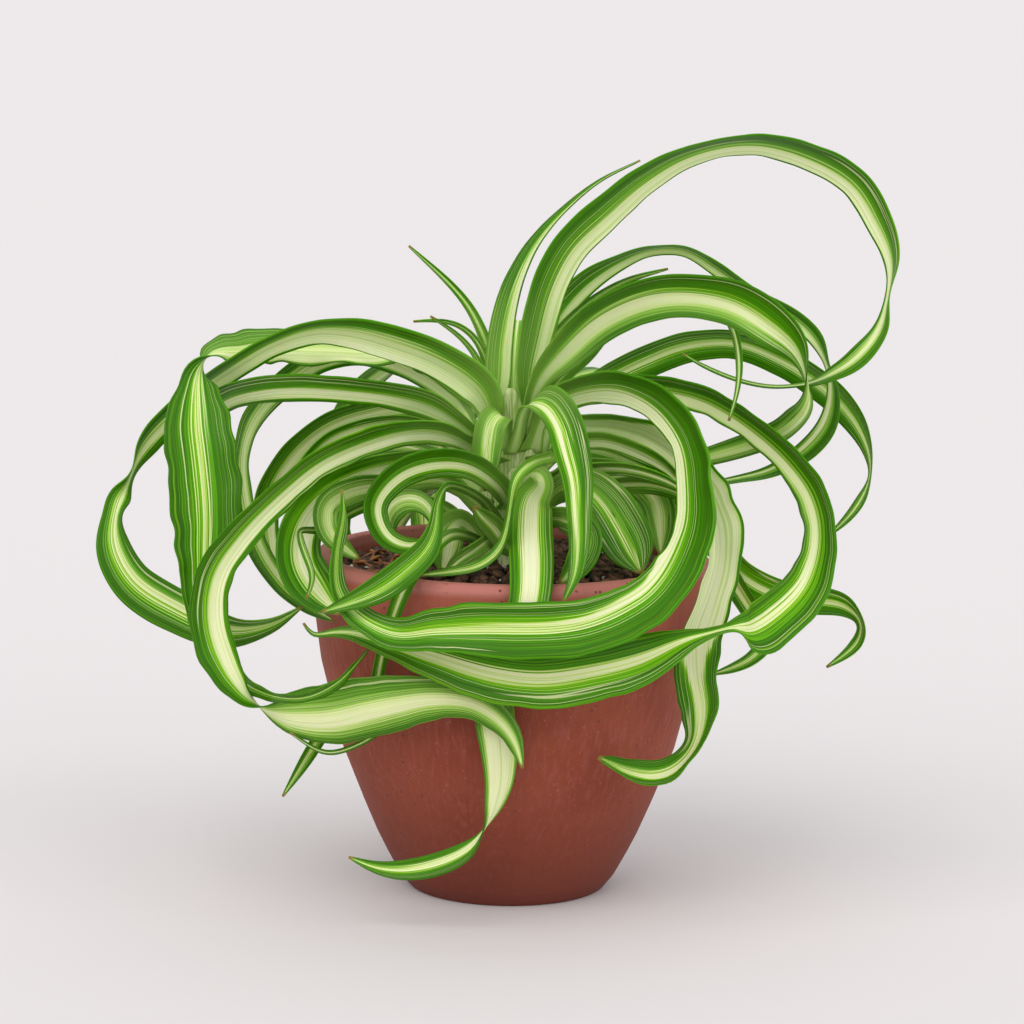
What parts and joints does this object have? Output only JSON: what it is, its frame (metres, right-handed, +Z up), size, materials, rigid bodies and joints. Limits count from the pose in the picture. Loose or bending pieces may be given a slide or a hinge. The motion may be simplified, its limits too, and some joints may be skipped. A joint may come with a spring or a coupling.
{
  "type": "potted spider plant",
  "caption": "Curly spider plant with long striped leaves that loop and twist round its pot, in a plain tapered red-brown pot.",
  "frame": {"origin": "centre of the pot's flat base", "axes": "+Z up, -Y towards the viewer of the picture, +X to that viewer's right"},
  "size_m": [0.2557, 0.1888, 0.2476],
  "materials": {
    "pot": "matte painted clay",
    "soil": "loose bark and peat",
    "crown": "satin plant tissue",
    "leaf": "satin leaf, green with cream stripes"
  },
  "bodies": {
    "root": {"pot": "pot", "soil": "soil", "crown": "crown", "leaf_big_arch": "leaf", "leaf_upright_blade": "leaf", "leaf_spike_blade": "leaf", "leaf_fork_blade_high": "leaf", "leaf_fork_blade_low": "leaf", "leaf_rear_arch": "leaf", "leaf_folded_arch": "leaf", "leaf_rear_low_arch": "leaf", "leaf_hanging_tip": "leaf", "leaf_short_cut_blade": "leaf", "leaf_short_green_blade": "leaf", "leaf_great_loop": "leaf", "leaf_outer_loop": "leaf", "leaf_wide_drop": "leaf", "leaf_right_tail": "leaf", "leaf_small_right_tail": "leaf", "leaf_right_inner_high": "leaf", "leaf_right_inner_mid": "leaf", "leaf_right_inner_low": "leaf", "leaf_broad_droop": "leaf", "leaf_olive_droop": "leaf", "leaf_front_arch": "leaf", "leaf_front_arch_left": "leaf", "leaf_upper_left_arch": "leaf", "leaf_tall_drop": "leaf", "leaf_left_strap": "leaf", "leaf_rear_left_strap": "leaf", "leaf_nested_loop": "leaf", "leaf_nested_loop_inner": "leaf", "leaf_big_front_loop": "leaf", "leaf_curl_leaf": "leaf", "leaf_curl_tail": "leaf", "leaf_fold_drop": "leaf", "leaf_thin_curl": "leaf", "leaf_low_front_left": "leaf", "leaf_left_hanger": "leaf", "leaf_cup_leaf": "leaf", "leaf_left_back_tail": "leaf", "leaf_low_left_curl": "leaf", "leaf_dry_tip_blade": "leaf", "leaf_back_arch_mid": "leaf", "leaf_back_arch_left": "leaf", "leaf_back_arch_right": "leaf", "leaf_back_loop": "leaf", "leaf_back_low_left": "leaf", "leaf_back_low_right": "leaf", "leaf_inner_cross": "leaf", "leaf_stub_left": "leaf", "leaf_right_low_blade": "leaf"}
  },
  "joints": []
}
